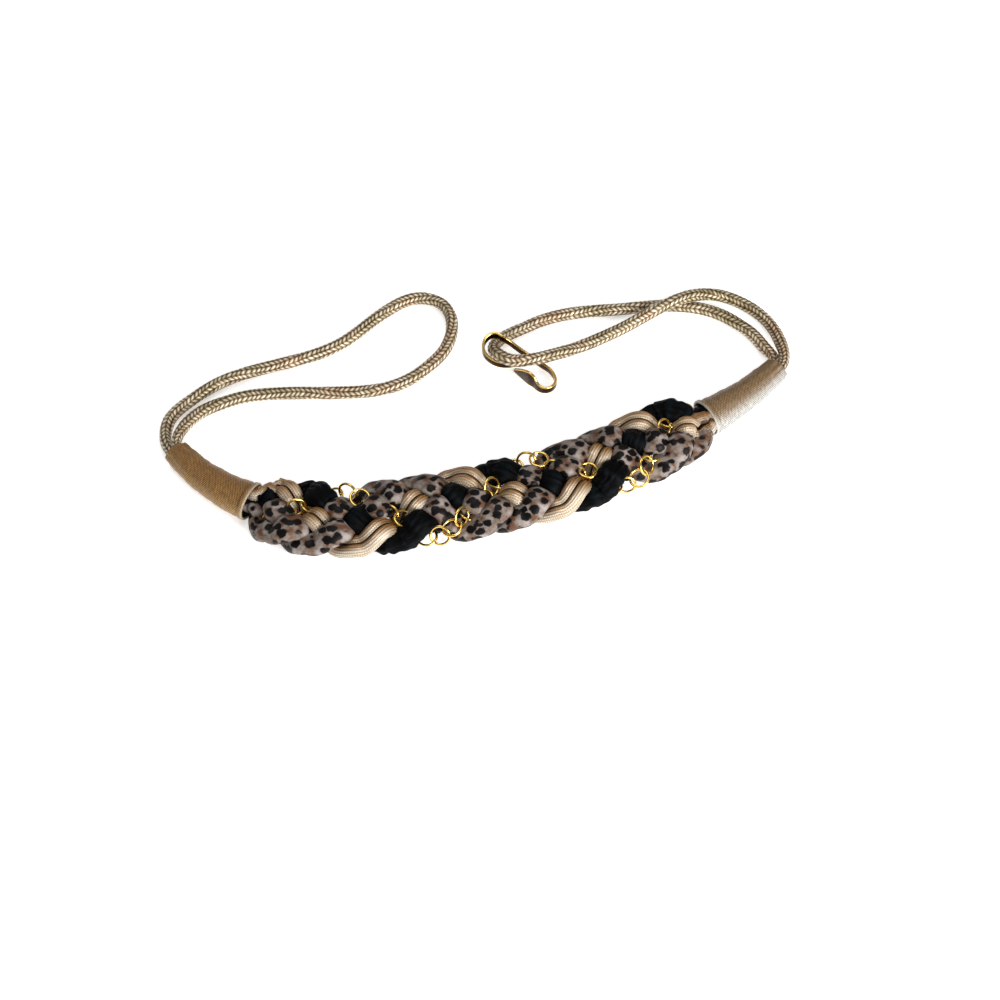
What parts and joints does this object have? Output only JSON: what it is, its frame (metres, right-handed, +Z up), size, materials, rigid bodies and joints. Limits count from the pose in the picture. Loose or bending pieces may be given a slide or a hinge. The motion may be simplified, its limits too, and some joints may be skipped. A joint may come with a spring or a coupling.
{
  "type": "plaited waist belt with cord loops and strip hook",
  "caption": "Flat plaited waist belt of cloth tubes, ribbed cords and gold chain, gathered in tapered knit sleeves, with doubled cord loops and a gold strip hook.",
  "frame": {"origin": "centre, on the surface that the belt lies on, of the box round the plait, the sleeves and the hook", "axes": "+X along the plait from the plain loop's end to the hook's end, +Y towards the cord loops, +Z up from the surface"},
  "size_m": [0.3436, 0.1815, 0.0195],
  "materials": {
    "champagne_braid": "braided metallic yarn, satin",
    "champagne_knit": "fine metallic knit, satin",
    "gold_metal": "polished gold plating",
    "black_cloth": "crinkled matt cloth",
    "leopard_cloth": "printed satin cloth with dark spots"
  },
  "bodies": {
    "root": {"champagne_cord_strand": "champagne_braid", "black_strand": "black_cloth", "leopard_strand_1": "leopard_cloth", "leopard_strand_2": "leopard_cloth", "gold_chain": "gold_metal", "sleeve_left": "champagne_knit", "sleeve_right": "champagne_knit", "cord_loop_left": "champagne_braid", "cord_loop_right": "champagne_braid", "hook": "gold_metal"}
  },
  "joints": []
}
